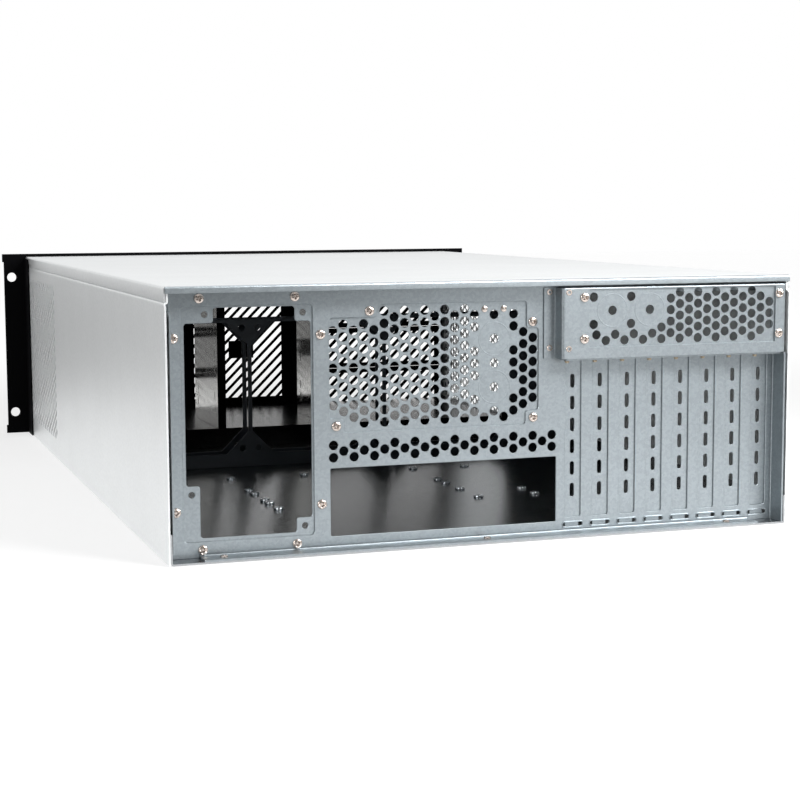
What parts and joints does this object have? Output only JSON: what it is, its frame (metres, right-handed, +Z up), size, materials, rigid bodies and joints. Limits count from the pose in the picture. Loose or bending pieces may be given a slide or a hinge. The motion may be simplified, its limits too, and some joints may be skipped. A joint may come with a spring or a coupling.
{
  "type": "empty rackmount server case",
  "caption": "Rack-width sheet-metal server case with ears, perforated rear panel, slotted expansion covers, open supply bay, fan bracket, drive cage and sliding top cover.",
  "frame": {"origin": "middle of the footprint, on the surface that the case stands on", "axes": "+Y is the rear, -Y the front with the rack ears, +Z up, +X the left side seen from behind"},
  "size_m": [0.4826, 0.6996, 0.1768],
  "materials": {
    "galvanised_steel": "zinc-coated steel with a fine spangle",
    "cover_steel": "zinc-coated steel, bright and smooth",
    "black_paint": "matt black powder coat",
    "slate_paint": "satin slate-black paint",
    "nickel": "nickel-plated",
    "brass": "yellow-passivated",
    "standoff_steel": "plain steel",
    "button_plastic": "moulded, matt",
    "light_plastic": "clear moulded"
  },
  "bodies": {
    "chassis": {"base_pan": "galvanised_steel", "bay_cover_1": "black_paint", "bay_cover_2": "black_paint", "bay_cover_3": "black_paint", "bay_cover_4": "black_paint", "bay_cover_5": "black_paint", "bay_cover_6": "black_paint", "board_standoffs": "standoff_steel", "cage_tray": "black_paint", "centre_grille": "black_paint", "drive_cage": "galvanised_steel", "fan_bracket": "slate_paint", "front_panel": "black_paint", "front_top_strip": "cover_steel", "guard_plate": "galvanised_steel", "guard_plate_screws": "nickel", "guard_rivets": "galvanised_steel", "panel_foot_screws": "nickel", "psu_plate": "galvanised_steel", "psu_plate_screws": "nickel", "rear_panel": "galvanised_steel", "side_wall_left": "galvanised_steel", "side_wall_right": "galvanised_steel", "slot_cover_1": "galvanised_steel", "slot_cover_2": "galvanised_steel", "slot_cover_3": "galvanised_steel", "slot_cover_4": "galvanised_steel", "slot_cover_5": "galvanised_steel", "slot_cover_6": "galvanised_steel", "slot_cover_7": "galvanised_steel", "slot_cover_8": "galvanised_steel", "slot_cover_screws": "brass", "slot_guard": "galvanised_steel", "status_lights": "light_plastic", "switch_bracket": "galvanised_steel", "vent_plate": "galvanised_steel", "vent_plate_screws": "nickel"},
    "cover": {"top_cover": "cover_steel"},
    "power_key": {"power_button": "button_plastic"},
    "reset_key": {"reset_button": "button_plastic"}
  },
  "joints": [
    {"name": "cover_slide", "type": "slide", "parent": "chassis", "child": "cover", "axis": [0, 1, 0], "range_m": [0, 0.022]},
    {"name": "power_press", "type": "slide", "parent": "chassis", "child": "power_key", "axis": [0, 1, 0], "range_m": [0, 0.0025], "stiffness_N_per_m": 600, "springref_m": -0.0005},
    {"name": "reset_press", "type": "slide", "parent": "chassis", "child": "reset_key", "axis": [0, 1, 0], "range_m": [0, 0.0025], "stiffness_N_per_m": 400, "springref_m": -0.0005}
  ]
}
